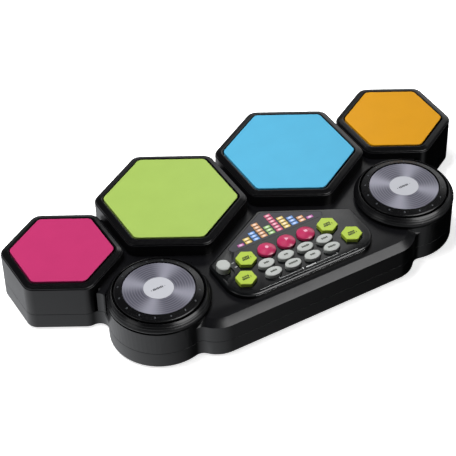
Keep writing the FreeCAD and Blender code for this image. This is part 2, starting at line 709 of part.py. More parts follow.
def encoder_sensor(side):
    """Fork hung under the pod's plate, with the wheel's edge in its slot."""
    x = side * TABLE_X
    near, far = WHEEL_R - FORK_OVERLAP, WHEEL_R + FORK_REACH
    middle, length = (near + far) / 2, far - near
    fork = block(x, TABLE_Y + middle, FORK_W, length, WHEEL_TOP - WHEEL_T - FORK_T, TABLE_UNDER)
    gap = block(x, TABLE_Y + middle - FORK_T, FORK_W + 1, length, WHEEL_TOP - WHEEL_T - SENSOR_SLOT,
                WHEEL_TOP + SENSOR_SLOT)
    return fork.cut(gap)


# ---- panel and its controls ---------------------------------------------------------------------


def dome_places():
    return {name: (k * DOME_PITCH, ahead(DOME_AHEAD)) for k, name in zip((-1, 0, 1), ("left", "middle", "right"))}


def oval_places():
    rows = zip(("back", "front"), OVAL_ROWS)
    return {"%s_%d" % (row, i + 1): (x, ahead(y)) for row, y in rows for i, x in enumerate(OVAL_COLUMNS)}


def hex_places():
    names = ("back_left", "back_right", "front_left", "front_right")
    return {name: (x, ahead(y)) for name, (x, y) in zip(names, HEX_PLACES)}


def control_panel():
    top = slab(panel_face(), DECK_Z, PANEL_Z)
    top = top.makeFillet(PANEL_ROUND, edges_at(top, PANEL_Z))
    cuts = [slab(panel_face(WALL), 0, PANEL_UNDER)]
    posts = [rod(x, ahead(y), POST_R, BOARD_TOP, PANEL_UNDER + 0.5) for x, y in POST_PLACES]
    cuts.append(slab(window_face(), WINDOW_Z, HIGH))
    cuts.append(slab(window_face(WINDOW_LEDGE), 0, HIGH))
    for x, y in dome_places().values():
        cuts.append(rod(x, y, DOME_R + BUTTON_GAP, PANEL_UNDER - 1, HIGH))
    for x, y in hex_places().values():
        hole = hexagon(x, y, HEX_SIZE * COS30 + BUTTON_GAP, HEX_CORNER + BUTTON_GAP)
        cuts.append(slab(hole, PANEL_UNDER - 1, HIGH))
    for x, y in oval_places().values():
        cuts.append(slab(ellipse(x, y, OVAL_X + 2 * BUTTON_GAP, OVAL_Y + 2 * BUTTON_GAP), PANEL_UNDER - 1, HIGH))
    knob_y = ahead(KNOB_AHEAD)
    cuts.append(slab(racetrack(KNOB_X, knob_y + KNOB_LONG / 2, KNOB_R + RECESS_GAP, KNOB_LONG + KNOB_TRAVEL),
                     PANEL_Z - RECESS_DEPTH, HIGH))
    cuts.append(block(KNOB_X, knob_y - KNOB_TRAVEL / 2, STEM_X + 2 * STEM_GAP, STEM_Y + KNOB_TRAVEL + 2 * STEM_GAP,
                      PANEL_UNDER - 1, HIGH))
    for x, y in POST_PLACES:
        cuts.append(rod(x, ahead(y), BOARD_SCREW_R + 0.05, 0, BOARD_TOP + BOARD_SCREW_BITE + 0.3))
    body = without(top, cuts[:1])
    return without(fused([body] + posts), cuts[1:])


def display_window():
    return slab(grown(window_face(), -FIT), WINDOW_Z, PANEL_Z)


def with_plunger(cap, x, y, flange):
    """Add the stop flange under the panel and the plunger over the keypad."""
    high = PANEL_UNDER - 0.3
    return fused([cap, flange(high - BUTTON_FLANGE_T, high), rod(x, y, PLUNGER_R, PLUNGER_END, high)])


def dome_button(x, y):
    wall_top = PANEL_Z + DOME_WALL
    rise = DOME_RISE - DOME_WALL
    sphere_r = (DOME_R ** 2 + rise ** 2) / (2 * rise)
    ball = Part.makeSphere(sphere_r, Vec(x, y, wall_top + rise - sphere_r))
    cap = rod(x, y, DOME_R, PANEL_UNDER - 0.4, wall_top + rise).common(ball)
    low = rod(x, y, DOME_R, PANEL_UNDER - 0.4, wall_top)
    cap = fused([low, cap])
    return with_plunger(cap, x, y, lambda a, b: rod(x, y, DOME_R + BUTTON_FLANGE, a, b))


def hex_button(x, y):
    flat = HEX_SIZE * COS30
    cap = slab(hexagon(x, y, flat, HEX_CORNER), PANEL_UNDER - 0.4, PANEL_Z + HEX_RISE)
    cap = cap.makeFillet(HEX_ROUND * 0.8, edges_at(cap, PANEL_Z + HEX_RISE))
    flange = hexagon(x, y, flat + BUTTON_FLANGE, HEX_CORNER + BUTTON_FLANGE)
    return with_plunger(cap, x, y, lambda a, b: slab(flange, a, b))


def oval_button(x, y):
    cap = slab(ellipse(x, y, OVAL_X, OVAL_Y), PANEL_UNDER - 0.4, PANEL_Z + OVAL_RISE)
    cap = cap.makeFillet(OVAL_ROUND, edges_at(cap, PANEL_Z + OVAL_RISE))
    return with_plunger(cap, x, y, lambda a, b: block(x, y, OVAL_TAB_X, OVAL_TAB_Y, a, b))


def slide_knob():
    """Knob at the rear of its slot, with a stem down into the switch."""
    y = ahead(KNOB_AHEAD)
    top = PANEL_Z + KNOB_RISE
    knob = slab(racetrack(KNOB_X, y + KNOB_LONG / 2, KNOB_R, KNOB_LONG), PANEL_Z - KNOB_SINK, top)
    knob = knob.makeFillet(KNOB_ROUND, edges_at(knob, top))
    return fused([knob, block(KNOB_X, y, STEM_X, STEM_Y, PANEL_UNDER - STEM_REACH, PANEL_Z)])


def slide_switch():
    """Switch body under the panel, open on top for the knob's stem."""
    y = ahead(KNOB_AHEAD) - KNOB_TRAVEL / 2
    body = block(KNOB_X, y, SWITCH_X, STEM_Y + KNOB_TRAVEL + 5.0, PANEL_UNDER - SWITCH_H, PANEL_UNDER)
    return body.cut(block(KNOB_X, y, STEM_X + 2 * STEM_GAP, STEM_Y + KNOB_TRAVEL + 2 * STEM_GAP,
                          PANEL_UNDER - STEM_REACH - 0.5, HIGH))


def main_board():
    board = slab(panel_face(BOARD_INSET), BOARD_TOP - BOARD_T, BOARD_TOP)
    return board.cut([rod(x, ahead(y), BOARD_SCREW_R + FIT, 0, HIGH) for x, y in POST_PLACES])


def button_places():
    return list(dome_places().values()) + list(hex_places().values()) + list(oval_places().values())


def rubber_keypad():
    """One rubber sheet with a bump under every button."""
    half, front, back = KEYPAD_HALF, ahead(KEYPAD_FRONT_AHEAD), ahead(KEYPAD_BACK_AHEAD)
    corner = KEYPAD_CORNER
    sheet = slab(outline([(-half, front, corner), (half, front, corner), (half, back, 4), (-half, back, 4)]),
                 BOARD_TOP, BOARD_TOP + KEYPAD_T)
    bumps = [rod(x, y, PLUNGER_R + 0.5, BOARD_TOP, KEYPAD_TOP) for x, y in button_places()]
    return fused([sheet] + bumps)


def light_guides():
    """Clear blocks that carry each lamp's light up to the display window."""
    guides = []
    for i, count in enumerate(COLUMN_CELLS):
        x = (i - (len(COLUMN_CELLS) - 1) / 2) * CELL_PITCH_X
        for k in range(count):
            y = ahead(CELL_FRONT_AHEAD) + CELL_Y / 2 + k * CELL_PITCH_Y
            guides.append(block(x, y, CELL_X, CELL_Y, BOARD_TOP, WINDOW_Z - 0.2))
    return guides


# ---- fittings inside and under ------------------------------------------------------------------


def screw(x, y, seat, length, radius, head_r, head_h):
    return fused([rod(x, y, head_r, seat - head_h, seat), rod(x, y, radius, seat, seat + length)])


def screws():
    seat = BASE_Z + SCREW_SEAT
    length = SEAM_Z - seat + SCREW_BITE
    case = [screw(x, ahead(y), seat, length, SCREW_R, SCREW_HEAD_R, SCREW_HEAD_H) for x, y in SCREW_PLACES]
    board_seat = BOARD_TOP - BOARD_T
    board = [screw(x, ahead(y), board_seat, BOARD_T + BOARD_SCREW_BITE, BOARD_SCREW_R, 2.2, 1.3)
             for x, y in POST_PLACES]
    return case, board


def speaker_frame():
    """Basket with the magnet on its back."""
    low = FLOOR_Z
    top = low + SPEAKER_H
    neck = top - 6.0
    outer = [(SPEAKER_R, low), (SPEAKER_R, low + SPEAKER_FLANGE_T), (SPEAKER_R - 3, low + SPEAKER_FLANGE_T),
             (SPEAKER_BACK_R, neck), (SPEAKER_BACK_R + 1.0, neck), (SPEAKER_BACK_R + 1.0, top), (0, top)]
    inner = [(0, neck), (SPEAKER_BACK_R - SPEAKER_T, neck), (SPEAKER_R - 3 - SPEAKER_T, low)]
    return turned(0, ahead(SPEAKER_AHEAD), outer + inner)


def speaker_cone():
    low = FLOOR_Z + CONE_FRONT
    deep = FLOOR_Z + CONE_DEPTH
    profile = [(CONE_R, low), (CONE_R, low + CONE_T), (CONE_CAP_R, deep + CONE_T), (0, deep + 2 * CONE_T),
               (0, deep + CONE_T), (CONE_CAP_R, deep)]
    return turned(0, ahead(SPEAKER_AHEAD), profile)


def cell_centres():
    first = ahead(BAY_AHEAD) - (CELL_COUNT - 1) / 2 * CELL_SPACING
    return [first + k * CELL_SPACING for k in range(CELL_COUNT)]


def batteries():
    z = FLOOR_Z + BAY_LIFT + CELL_R
    cells = []
    for k, y in enumerate(cell_centres()):
        turn = 1 if k % 2 == 0 else -1
        body = Part.makeCylinder(CELL_R, CELL_LENGTH - 1.5, Vec(-turn * CELL_LENGTH / 2, y, z), Vec(turn, 0, 0))
        nose = Part.makeCylinder(2.6, 2.5, Vec(turn * (CELL_LENGTH / 2 - 2.5), y, z), Vec(turn, 0, 0))
        cells.append(fused([body, nose]))
    return cells


def battery_contacts():
    """A plate and a spring cup at the ends of every cell."""
    half_x = bay_box()[0]
    z = FLOOR_Z + BAY_LIFT + CELL_R
    pieces = []
    for y in cell_centres():
        for side in (-1, 1):
            plate = block(side * (half_x - CONTACT_T / 2), y, CONTACT_T, CONTACT_SIZE, z - CONTACT_SIZE / 2,
                          z + CONTACT_SIZE / 2)
            start = side * (half_x - CONTACT_T)
            cup = Part.makeCylinder(SPRING_R, BAY_END - CONTACT_T - 0.1, Vec(start, y, z), Vec(-side, 0, 0))
            pieces.append(fused([plate, cup]))
    return pieces


def battery_door():
    """Door in the case's underside, with two tabs that it tilts out on."""
    half_x, half_y, _ = bay_box()
    hinge = ahead(BAY_AHEAD) + half_y
    door = block(0, ahead(BAY_AHEAD), 2 * (half_x - DOOR_GAP), 2 * (half_y - DOOR_GAP), BASE_Z, FLOOR_Z)
    relief = WALL * math.tan(math.radians(DOOR_ANGLE)) + DOOR_GAP
    wedge = Part.Face(Part.makePolygon([Vec(-100, hinge - DOOR_GAP, FLOOR_Z), Vec(-100, hinge + 1, FLOOR_Z),
                                        Vec(-100, hinge + 1, BASE_Z - 1), Vec(-100, hinge - relief - 0.6, BASE_Z - 1),
                                        Vec(-100, hinge - DOOR_GAP, FLOOR_Z)])).extrude(Vec(200, 0, 0))
    door = door.cut(wedge)
    tabs = []
    for side in (-1, 1):
        x = side * half_x * TAB_SHARE
        tabs.append(block(x, hinge - 1.6, TAB_W, 2.4, FLOOR_Z - 0.3, FLOOR_Z + FIT + TAB_T))
        tabs.append(block(x, hinge + (TAB_REACH - 1.6) / 2, TAB_W, TAB_REACH + 1.6, FLOOR_Z + FIT,
                          FLOOR_Z + FIT + TAB_T))
    first = ahead(BAY_AHEAD) - half_y + GRIP_FROM_EDGE
    grip = [block(0, first + k * GRIP_PITCH, GRIP_LONG, GRIP_W, BASE_Z - 1, BASE_Z + GRIP_DEPTH)
            for k in range(GRIP_COUNT)]
    return without(fused([door] + tabs), grip)


def rubber_feet():
    return [rod(x, ahead(y), FOOT_R, 0, BASE_Z + FOOT_POCKET) for x, y in feet_places()]


# ---- assembly -----------------------------------------------------------------------------------


def build():
    face = case_face()
    case_screws, board_screws = screws()
    nodes = {"lower_case": lower_case(face), "upper_case": upper_case(face), "control_panel": control_panel(),
             "display_window": display_window(), "light_guides": light_guides(), "main_board": main_board(),
             "rubber_keypad": rubber_keypad(), "slide_knob": slide_knob(), "slide_switch": slide_switch(),
             "pad_sensors": pad_sensors(), "case_screws": case_screws, "board_screws": board_screws,
             "speaker_frame": speaker_frame(), "speaker_cone": speaker_cone(), "batteries": batteries(),
             "battery_contacts": battery_contacts(), "battery_door": battery_door(), "rubber_feet": rubber_feet(),
             "encoder_sensors": [encoder_sensor(side) for side in SIDES.values()]}
    for name, pad in PADS.items():
        nodes["pad_" + name] = pad_cap(pad)
        nodes["pad_rim_" + name] = pad_rim(pad)
        nodes["pad_return_ring_" + name] = pad_return_ring(pad)
    for name, side in SIDES.items():
        x = side * TABLE_X
        nodes["turntable_bezel_" + name] = bezel(x)
        nodes["platter_" + name] = platter(x)
        nodes["record_disc_" + name] = record_disc(x)
        nodes["record_label_" + name] = record_label(x)
        nodes["platter_bushing_" + name] = bushing(x)
        nodes["encoder_wheel_" + name] = encoder_wheel(x)
    for kind, places, make in (("dome", dome_places(), dome_button), ("hex", hex_places(), hex_button),
                               ("oval", oval_places(), oval_button)):
        for name, (x, y) in places.items():
            nodes["%s_button_%s" % (kind, name)] = make(x, y)
    return nodes


def main():
    os.makedirs("parts", exist_ok=True)
    for name, shape in build().items():
        if isinstance(shape, list):
            shape = Part.makeCompound(shape)
        solids = shape.Solids
        flat = Part.makeCompound(solids) if len(solids) > 1 else solids[0]
        if not flat.isValid():
            print("not valid:", name)
        flat.exportStep("parts/%s.step" % name)
        box = flat.BoundBox
        print("%-30s %2d solids  volume %9.1f  x %7.1f %7.1f  y %7.1f %7.1f  z %6.2f %6.2f" % (
            name, len(solids), flat.Volume, box.XMin, box.XMax, box.YMin, box.YMax, box.ZMin, box.ZMax))


main()
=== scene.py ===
import math

import bmesh
import bpy
import numpy as np
from mathutils import Matrix, Vector


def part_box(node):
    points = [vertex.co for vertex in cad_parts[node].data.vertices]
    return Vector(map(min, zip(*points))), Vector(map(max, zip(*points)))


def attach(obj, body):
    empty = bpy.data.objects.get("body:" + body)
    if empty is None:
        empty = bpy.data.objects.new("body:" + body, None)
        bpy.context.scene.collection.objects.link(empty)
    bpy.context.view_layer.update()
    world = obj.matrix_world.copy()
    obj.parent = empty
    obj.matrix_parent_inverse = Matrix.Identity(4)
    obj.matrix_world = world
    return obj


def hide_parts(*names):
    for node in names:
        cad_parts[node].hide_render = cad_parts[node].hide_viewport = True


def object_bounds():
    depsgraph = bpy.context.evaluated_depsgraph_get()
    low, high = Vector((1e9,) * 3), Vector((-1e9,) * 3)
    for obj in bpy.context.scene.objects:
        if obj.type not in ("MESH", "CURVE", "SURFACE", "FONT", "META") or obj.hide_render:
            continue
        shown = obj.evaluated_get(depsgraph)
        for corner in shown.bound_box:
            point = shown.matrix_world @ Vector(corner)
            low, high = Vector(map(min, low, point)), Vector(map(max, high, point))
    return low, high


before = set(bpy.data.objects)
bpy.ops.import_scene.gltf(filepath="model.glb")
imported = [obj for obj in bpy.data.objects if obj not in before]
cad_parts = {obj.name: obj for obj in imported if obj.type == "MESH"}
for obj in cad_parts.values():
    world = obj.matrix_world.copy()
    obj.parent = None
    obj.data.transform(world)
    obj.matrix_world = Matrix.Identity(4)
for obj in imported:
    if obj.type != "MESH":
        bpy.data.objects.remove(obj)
cad_low, cad_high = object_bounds()

# ---- Table and studio ---------------------------------------------------------------------------
# The machine stands on a plain white table. A large soft box overhead, a little behind it, and a weak
# one on the left light it; the others only show as reflections. The camera looks from the front left.
mm = 0.001


class Signal:
    """A number that changes over a surface. Arithmetic on it adds Math nodes to its material."""

    def __init__(self, finish, socket):
        self.finish = finish
        self.socket = socket

    def math(self, operation, *values):
        values = dict(enumerate((self, *values)))
        return self.finish.node("ShaderNodeMath", {"operation": operation}, values)

    def __add__(self, other):
        return self.math("ADD", other)

    def __sub__(self, other):
        return self.math("SUBTRACT", other)

    def __rsub__(self, other):
        return self.math("MULTIPLY", -1.0).math("ADD", other)

    def __mul__(self, other):
        return self.math("MULTIPLY", other)

    def __truediv__(self, other):
        return self.math("DIVIDE", other)

    def __lt__(self, other):
        return self.math("LESS_THAN", other)

    def __gt__(self, other):
        return self.math("GREATER_THAN", other)

    __radd__ = __add__
    __rmul__ = __mul__

    def within(self, low, high):
        """0 below low, 1 above high, and smooth between them."""
        values = {"Value": self, "From Min": low, "From Max": high}
        return self.finish.node("ShaderNodeMapRange", {"interpolation_type": "SMOOTHSTEP"}, values)

    def axis(self, name):
        return self.finish.node("ShaderNodeSeparateXYZ", {}, {0: self}, name)


class Graph:
    """The nodes of a material or of the surroundings."""

    def __init__(self, tree):
        self.tree = tree

    def node(self, kind, settings, values, output=0):
        node = self.tree.nodes.new(kind)
        for key, value in settings.items():
            setattr(node, key, value)
        for key, value in values.items():
            self.join(node.inputs[key], value)
        return Signal(self, node.outputs[output])

    def join(self, socket, value):
        if isinstance(value, Signal):
            self.tree.links.new(value.socket, socket)
        else:
            socket.default_value = value


class Finish(Graph):
    """A material: one Principled shader, and the nodes that feed it."""

    def __init__(self, name, **constants):
        self.material = bpy.data.materials.new(name)
        self.material.use_nodes = True
        super().__init__(self.material.node_tree)
        self.shader = self.tree.nodes["Principled BSDF"]
        for socket, value in constants.items():
            self.feed(socket.replace("_", " ").title(), value)

    def feed(self, name, value):
        self.join(self.shader.inputs[name], value)

    def place(self, centre=(0, 0, 0), turn=(0, 0, 0)):
        """The place on the object, in metres from a centre."""
        coordinates = self.node("ShaderNodeTexCoord", {}, {}, "Object")
        turned = {0: coordinates, "Location": [-c for c in centre], "Rotation": turn}
        return self.node("ShaderNodeMapping", {"vector_type": "POINT"}, turned)

    def noise(self, size, place, detail=2.0):
        """Soft random spots about as large as size, in metres."""
        values = {"Vector": place, "Scale": 1 / size, "Detail": detail}
        return self.node("ShaderNodeTexNoise", {}, values, "Fac")

    def tint(self, share, one, other):
        """A colour between two colours."""
        return self.node("ShaderNodeMix", {"data_type": "RGBA"}, {"Factor": share, 6: one, 7: other}, 2)

    def relief(self, height, depth):
        """Surface relief: depth in metres where the height is 1."""
        return self.node("ShaderNodeBump", {}, {"Height": height, "Distance": depth, "Strength": 1.0})


def colour(red, green, blue):
    """Linear colour of a value that is read as 0 to 255 on a screen."""
    share = np.array([red, green, blue]) / 255
    linear = np.where(share > 0.04045, ((share + 0.055) / 1.055) ** 2.4, share / 12.92)
    return (*linear.tolist(), 1.0)


def surface(name, points, faces, finish, smooth=True):
    """A mesh object from arrays of points (in metres) and of faces, with its place in its mesh."""
    mesh = bpy.data.meshes.new(name)
    mesh.from_pydata(points.tolist(), [], faces)
    mesh.polygons.foreach_set("use_smooth", np.full(len(mesh.polygons), smooth))
    mesh.update()
    piece = bpy.data.objects.new(name, mesh)
    bpy.context.scene.collection.objects.link(piece)
    piece.data.materials.append(finish.material)
    return piece


table_white = Finish("table_white", roughness=0.6)
table_white.feed("Specular IOR Level", 0.2)
grain = table_white.noise(0.004, table_white.place(), 3.0)
table_white.feed("Base Color", table_white.tint(grain, (0.93, 0.93, 0.93, 1), (0.95, 0.95, 0.95, 1)))
table_white.feed("Normal", table_white.relief(grain, 0.00002))
table_white.feed("Emission Color", (1, 1, 1, 1))
table_white.feed("Emission Strength", 0.75)
table_gap = 0.0002
low_z = cad_low[2] - table_gap
far = 6.0
corners = np.array([[-far, -far, low_z], [far, -far, low_z], [far, far, low_z], [-far, far, low_z]])
table = surface("table", corners, [(0, 1, 2, 3)], table_white, smooth=False)
table.visible_glossy = False
table.visible_diffuse = False


def soft_light(name, direction, distance, size, power, aim=(0, 0, 0), lights=True, shows=True):
    """Square soft box that faces a point of the object from a direction. It may light the object, show as
    a reflection in it, or both."""
    lamp = bpy.data.lights.new(name, "AREA")
    lamp.shape = "SQUARE"
    lamp.size = size
    lamp.energy = power
    light = bpy.data.objects.new(name, lamp)
    towards = Vector(direction).normalized()
    light.location = Vector(aim) + towards * distance
    light.rotation_euler = towards.to_track_quat("Z", "Y").to_euler()
    bpy.context.scene.collection.objects.link(light)
    light.visible_camera = False
    light.visible_diffuse = lights
    light.visible_glossy = shows


soft_light("key_box", (-0.2, 0.2, 0.96), 1.3, 0.7, 26.0, shows=False)
soft_light("front_box", (0.33, -0.66, 0.67), 1.25, 1.0, 30.0, lights=False)
soft_light("right_box", (0.74, 0.45, 0.45), 1.3, 0.75, 2.4, lights=False)
soft_light("left_box", (-0.93, -0.1, 0.35), 1.3, 0.5, 1.8)
soft_light("back_box", (0.363, 0.643, 0.674), 0.5, 0.2, 0.345, (0.055, 0.02, 0.045), lights=False)

world = bpy.data.worlds.new("room")
world.use_nodes = True
room = Graph(world.node_tree)
toward = room.node("ShaderNodeTexCoord", {}, {}, "Generated")
below = (0.85 - 2.0 * toward.axis("X") - 0.3 * toward.axis("Y")).math("MAXIMUM", 0.0)
level_band = 0.05 + 0.8 * (1 - toward.axis("Z").within(0.05, 0.45))
under = 1 - toward.axis("Z").within(-0.12, 0.0)
strength = under * below + (1 - under) * level_band
backdrop = world.node_tree.nodes["Background"]
backdrop.inputs[0].default_value = (0.95, 0.97, 1.0, 1)
room.join(backdrop.inputs[1], strength)
world.cycles_visibility.diffuse = False
bpy.context.scene.world = world
bpy.context.scene.view_settings.view_transform = "Standard"

pad_low, pad_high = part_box("pad_inner_left")
aim = Vector((0, (pad_low[1] + pad_high[1]) / 2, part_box("lower_case")[0][2]))
azimuth, elevation, roll = math.radians(-29.45), math.radians(42.39), math.radians(-1.38)
behind = Vector((math.sin(azimuth) * math.cos(elevation), -math.cos(azimuth) * math.cos(elevation),
                 math.sin(elevation)))
level = Vector((math.cos(azimuth), math.sin(azimuth), 0))
upright = behind.cross(level)
right = math.cos(roll) * level + math.sin(roll) * upright
top = -math.sin(roll) * level + math.cos(roll) * upright
distance, aside, down = 1.5533, 0.00324, 0.01056
lens = bpy.data.cameras.new("camera")
lens.lens = 133.6
lens.sensor_width = 36.0
lens.clip_end = 50.0
camera = bpy.data.objects.new("camera", lens)
camera.matrix_world = Matrix((right, top, behind)).transposed().to_4x4()
camera.location = aim + distance * behind - aside * right - down * top
bpy.context.scene.collection.objects.link(camera)
bpy.context.scene.camera = camera

# ---- Case ---------------------------------------------------------------------------------------
# Two injection-moulded halves in black ABS, joined on a lip and screwed from below. The deck, the pods
# and the walls carry a fine spark-eroded grain, with a softer gloss than the rims.


def moulded(node, finish, body="root", edge=0.25 * mm, angle=35):
    """The CAD node's own shape with its triangles merged, its sharp edges rounded by a small bevel and
    its faces shaded smooth: it stands for the node."""
    piece = bpy.data.objects.new(node + "_moulding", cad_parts[node].data.copy())
    bpy.context.scene.collection.objects.link(piece)
    shape = bmesh.new()
    shape.from_mesh(piece.data)
    weld, flat = 1e-6, math.radians(0.3)
    bmesh.ops.remove_doubles(shape, verts=shape.verts, dist=weld)
    bmesh.ops.dissolve_limit(shape, angle_limit=flat, verts=shape.verts, edges=shape.edges)
    shape.to_mesh(piece.data)
    shape.free()
    piece.data.materials.clear()
    piece.data.materials.append(finish.material)
    piece.data.polygons.foreach_set("use_smooth", np.full(len(piece.data.polygons), True))
    piece.data.set_sharp_from_angle(angle=math.radians(angle))
    if edge:
        bevel = piece.modifiers.new("edge", "BEVEL")
        bevel.limit_method = "ANGLE"
        bevel.angle_limit = math.radians(angle)
        bevel.width = edge
        bevel.segments = 2
        bevel.harden_normals = True
    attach(piece, body)
    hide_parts(node)
    return piece


def black_plastic(name, tone, roughness, grain, specular=0.3):
    """Moulded black plastic: a spark-eroded grain, faint flow marks and a slightly uneven roughness."""
    finish = Finish(name)
    finish.feed("Specular IOR Level", specular)
    place = finish.place()
    flow = finish.noise(0.03, place, 3.0)
    fine = finish.noise(0.0005, place, 1.0)
    dark = [c * 0.85 for c in tone[:3]] + [1]
    finish.feed("Base Color", finish.tint(flow, dark, tone))
    finish.feed("Roughness", roughness - 0.05 + 0.1 * finish.noise(0.012, place, 2.0))
    finish.feed("Normal", finish.relief(fine, grain))
    return finish


case_black = black_plastic("case_black", colour(13, 13, 15), 0.3, 0.00001, 0.2)
moulded("lower_case", case_black)
moulded("upper_case", case_black)

# ---- Hit pads and their rims --------------------------------------------------------------------
# Each pad is a satin coloured cap that drops 2 mm when it is hit, inside a gloss black rim that is
# pressed onto the pod's wall. The rim's outer edge is fully rounded; an open gap runs round the cap.


def middle(node):
    """Middle of a CAD node in plan, in mm."""
    low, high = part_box(node)
    return np.array([(low[0] + high[0]) / 2, (low[1] + high[1]) / 2]) / mm


def height(node, share=1.0):
    """Height in mm of a CAD node's top, or of another share of its box."""
    low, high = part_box(node)
    return (low[2] + (high[2] - low[2]) * share) / mm


def hexagon(centre, flat, corner, steps=6):
    """Outline of a rounded hexagon whose flat sides face +X and -X: each corner is an arc of steps points
    about a centre at (flat - corner) / cos 30 from the middle. Gives the points and their outward ways."""
    turn = np.radians(90 + 60 * np.arange(6))[:, None]
    angle = (turn + np.radians(np.linspace(-30, 30, steps))).ravel()
    hub = (flat - corner) / math.cos(math.pi / 6)
    turn = np.repeat(turn, steps, 1).ravel()
    outward = np.stack([np.cos(angle), np.sin(angle)], -1)
    return centre + hub * np.stack([np.cos(turn), np.sin(turn)], -1) + corner * outward, outward


def circle(centre, radius=0.0, steps=96):
    """Outline of a circle. With no radius it is a point, and the offset of a profile is the radius."""
    angle = np.linspace(0, 2 * np.pi, steps, endpoint=False)
    outward = np.stack([np.cos(angle), np.sin(angle)], -1)
    return centre + radius * outward, outward


def softened(corners, cut, steps=5):
    """A profile whose inner corners turn in a curve. The curve leaves the straight at cut from the corner,
    and is (1-t)^2 start + 2t(1-t) corner + t^2 end; one more point on each side keeps the flats flat."""
    corners = np.asarray(corners, float)
    corner = corners[1:-1]
    back = corners[:-2] - corner
    on = corners[2:] - corner
    back = back / np.linalg.norm(back, axis=1, keepdims=True)
    on = on / np.linalg.norm(on, axis=1, keepdims=True)
    cut = np.broadcast_to(cut, len(corner))[:, None]
    t = np.linspace(0, 1, steps)[None, :, None]
    start, end = (corner + back * cut)[:, None], (corner + on * cut)[:, None]
    bend = (1 - t) ** 2 * start + 2 * t * (1 - t) * corner[:, None] + t ** 2 * end
    before, after = (corner + back * cut * 1.2)[:, None], (corner + on * cut * 1.2)[:, None]
    return np.vstack([corners[:1], np.concatenate([before, bend, after], 1).reshape(-1, 2), corners[-1:]])


def banded(name, outline, profile, finish, body, node=None, loop=False, start=False, end=False):
    """A profile of (offset, height) points carried round an outline: point = outline + offset * outward,
    at that height. start and end close the first and last ring over a pole, and loop joins them."""
    points, outward = outline
    profile = np.asarray(profile, float)
    offset, level = profile[:, 0][:, None, None], profile[:, 1][:, None, None]
    flat = points[None] + offset * outward[None]
    rings = np.concatenate([flat, np.broadcast_to(level, flat.shape[:2] + (1,))], -1)
    skin(name, rings, finish, body, node, loop, start, end)


def skin(name, rings, finish, body, node=None, loop=False, start=False, end=False):
    """Faces between rings of points in mm, and fans over the poles in the middle of the end rings."""
    count, around = rings.shape[:2]
    index = np.arange(count * around).reshape(count, around)
    rows = np.vstack([index, index[:1]]) if loop else index
    here, there = rows[:-1], rows[1:]
    faces = np.stack([here, np.roll(here, -1, 1), np.roll(there, -1, 1), there], -1).reshape(-1, 4).tolist()
    points = rings.reshape(-1, 3)
    for ring, wanted, order in ((index[0], start, -1), (index[-1], end, 1)):
        if wanted:
            pole = np.full(around, len(points))
            points = np.vstack([points, points[ring].mean(0)])
            faces += np.stack([ring, np.roll(ring, -1), pole], -1)[:, ::order].tolist()
    piece = surface(name, points * mm, faces, finish)
    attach(piece, body)
    if node:
        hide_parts(node)


def satin(name, tone, roughness=0.34, specular=0.25, mottle=0.05, grain=0.000006):
    """Satin coloured plastic: a fine even grain and a slight unevenness of colour and gloss."""
    finish = Finish(name)
    finish.feed("Specular IOR Level", specular)
    place = finish.place()
    cloud = finish.noise(0.018, place, 3.0)
    dim = [c * (1 - mottle) for c in tone[:3]] + [1]
    lit = [min(1, c * (1 + mottle)) for c in tone[:3]] + [1]
    finish.feed("Base Color", finish.tint(cloud, dim, lit))
    finish.feed("Roughness", roughness - 0.04 + 0.08 * finish.noise(0.009, place, 2.0))
    finish.feed("Normal", finish.relief(finish.noise(0.0006, place, 1.0), grain))
    return finish


def gloss(name, tone, roughness=0.2, specular=0.5):
    """Polished plastic with the faint haze and hairline marks of handling."""
    finish = Finish(name)
    finish.feed("Specular IOR Level", specular)
    place = finish.place()
    haze = finish.noise(0.015, place, 2.0)
    rubbed = finish.noise(0.002, finish.place(turn=(0, 0, 0.6)), 2.0)
    lit = [min(1, c * 1.3) for c in tone[:3]] + [1]
    finish.feed("Base Color", finish.tint(haze, tone, lit))
    finish.feed("Roughness", roughness - 0.03 + 0.08 * haze + 0.03 * rubbed)
    finish.feed("Normal", finish.relief(rubbed, 0.0000015))
    return finish


rim_black = gloss("rim_black", colour(8, 8, 9), 0.22, 0.22)
cap_corner, cap_depth, cap_plate, cap_round = 5.5, 9.0, 4.0, 0.6
rim_reach, rim_corner, rim_skirt, cap_gap = 7.1, 10.3, 3.1, 1.3
skirt_drop, shoulder_drop = 11.5, 3.2
pad_tones = {"outer_left": ("pad_pink", (166, 46, 94)), "inner_left": ("pad_green", (144, 169, 83)),
             "inner_right": ("pad_blue", (73, 156, 190)), "outer_right": ("pad_orange", (194, 136, 18))}
for place_name, (slot, tone) in pad_tones.items():
    node = "pad_" + place_name
    centre, crown = middle(node), height(node)
    flat = (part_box(node)[1][0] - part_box(node)[0][0]) / 2 / mm
    cap = softened([(0.0, crown - cap_depth), (0.0, crown), (-cap_plate, crown)], cap_round)
    coloured = satin(slot, colour(*tone), specular=0.1)
    banded(node + "_cap", hexagon(centre, flat, cap_corner), cap, coloured, node, node, end=True)
    inner, _ = hexagon(centre, flat, cap_corner)
    outer, _ = hexagon(centre, flat + rim_reach, rim_corner)
    edge = softened([(rim_skirt, crown - skirt_drop), (rim_skirt, crown - shoulder_drop),
                     (rim_reach, crown - shoulder_drop), (rim_reach, crown - 2.2), (5.9, crown - 1.6),
                     (2.4, crown - 0.5), (cap_gap, crown - 0.8), (cap_gap, crown - skirt_drop)],
                    (0.3, 0.15, 0.5, 0.6, 0.5, 0.2))
    rim = "pad_rim_" + place_name
    outline = inner, (outer - inner) / rim_reach
    banded(rim + "_moulding", outline, edge, rim_black, "root", rim, loop=True)

# ---- Turntables ---------------------------------------------------------------------------------
# A gloss bezel sits on each round pod over a shadow gap. In it turns a black platter with a raised
# edge, and a silver record with pressed grooves and a paper label lies inside that edge.


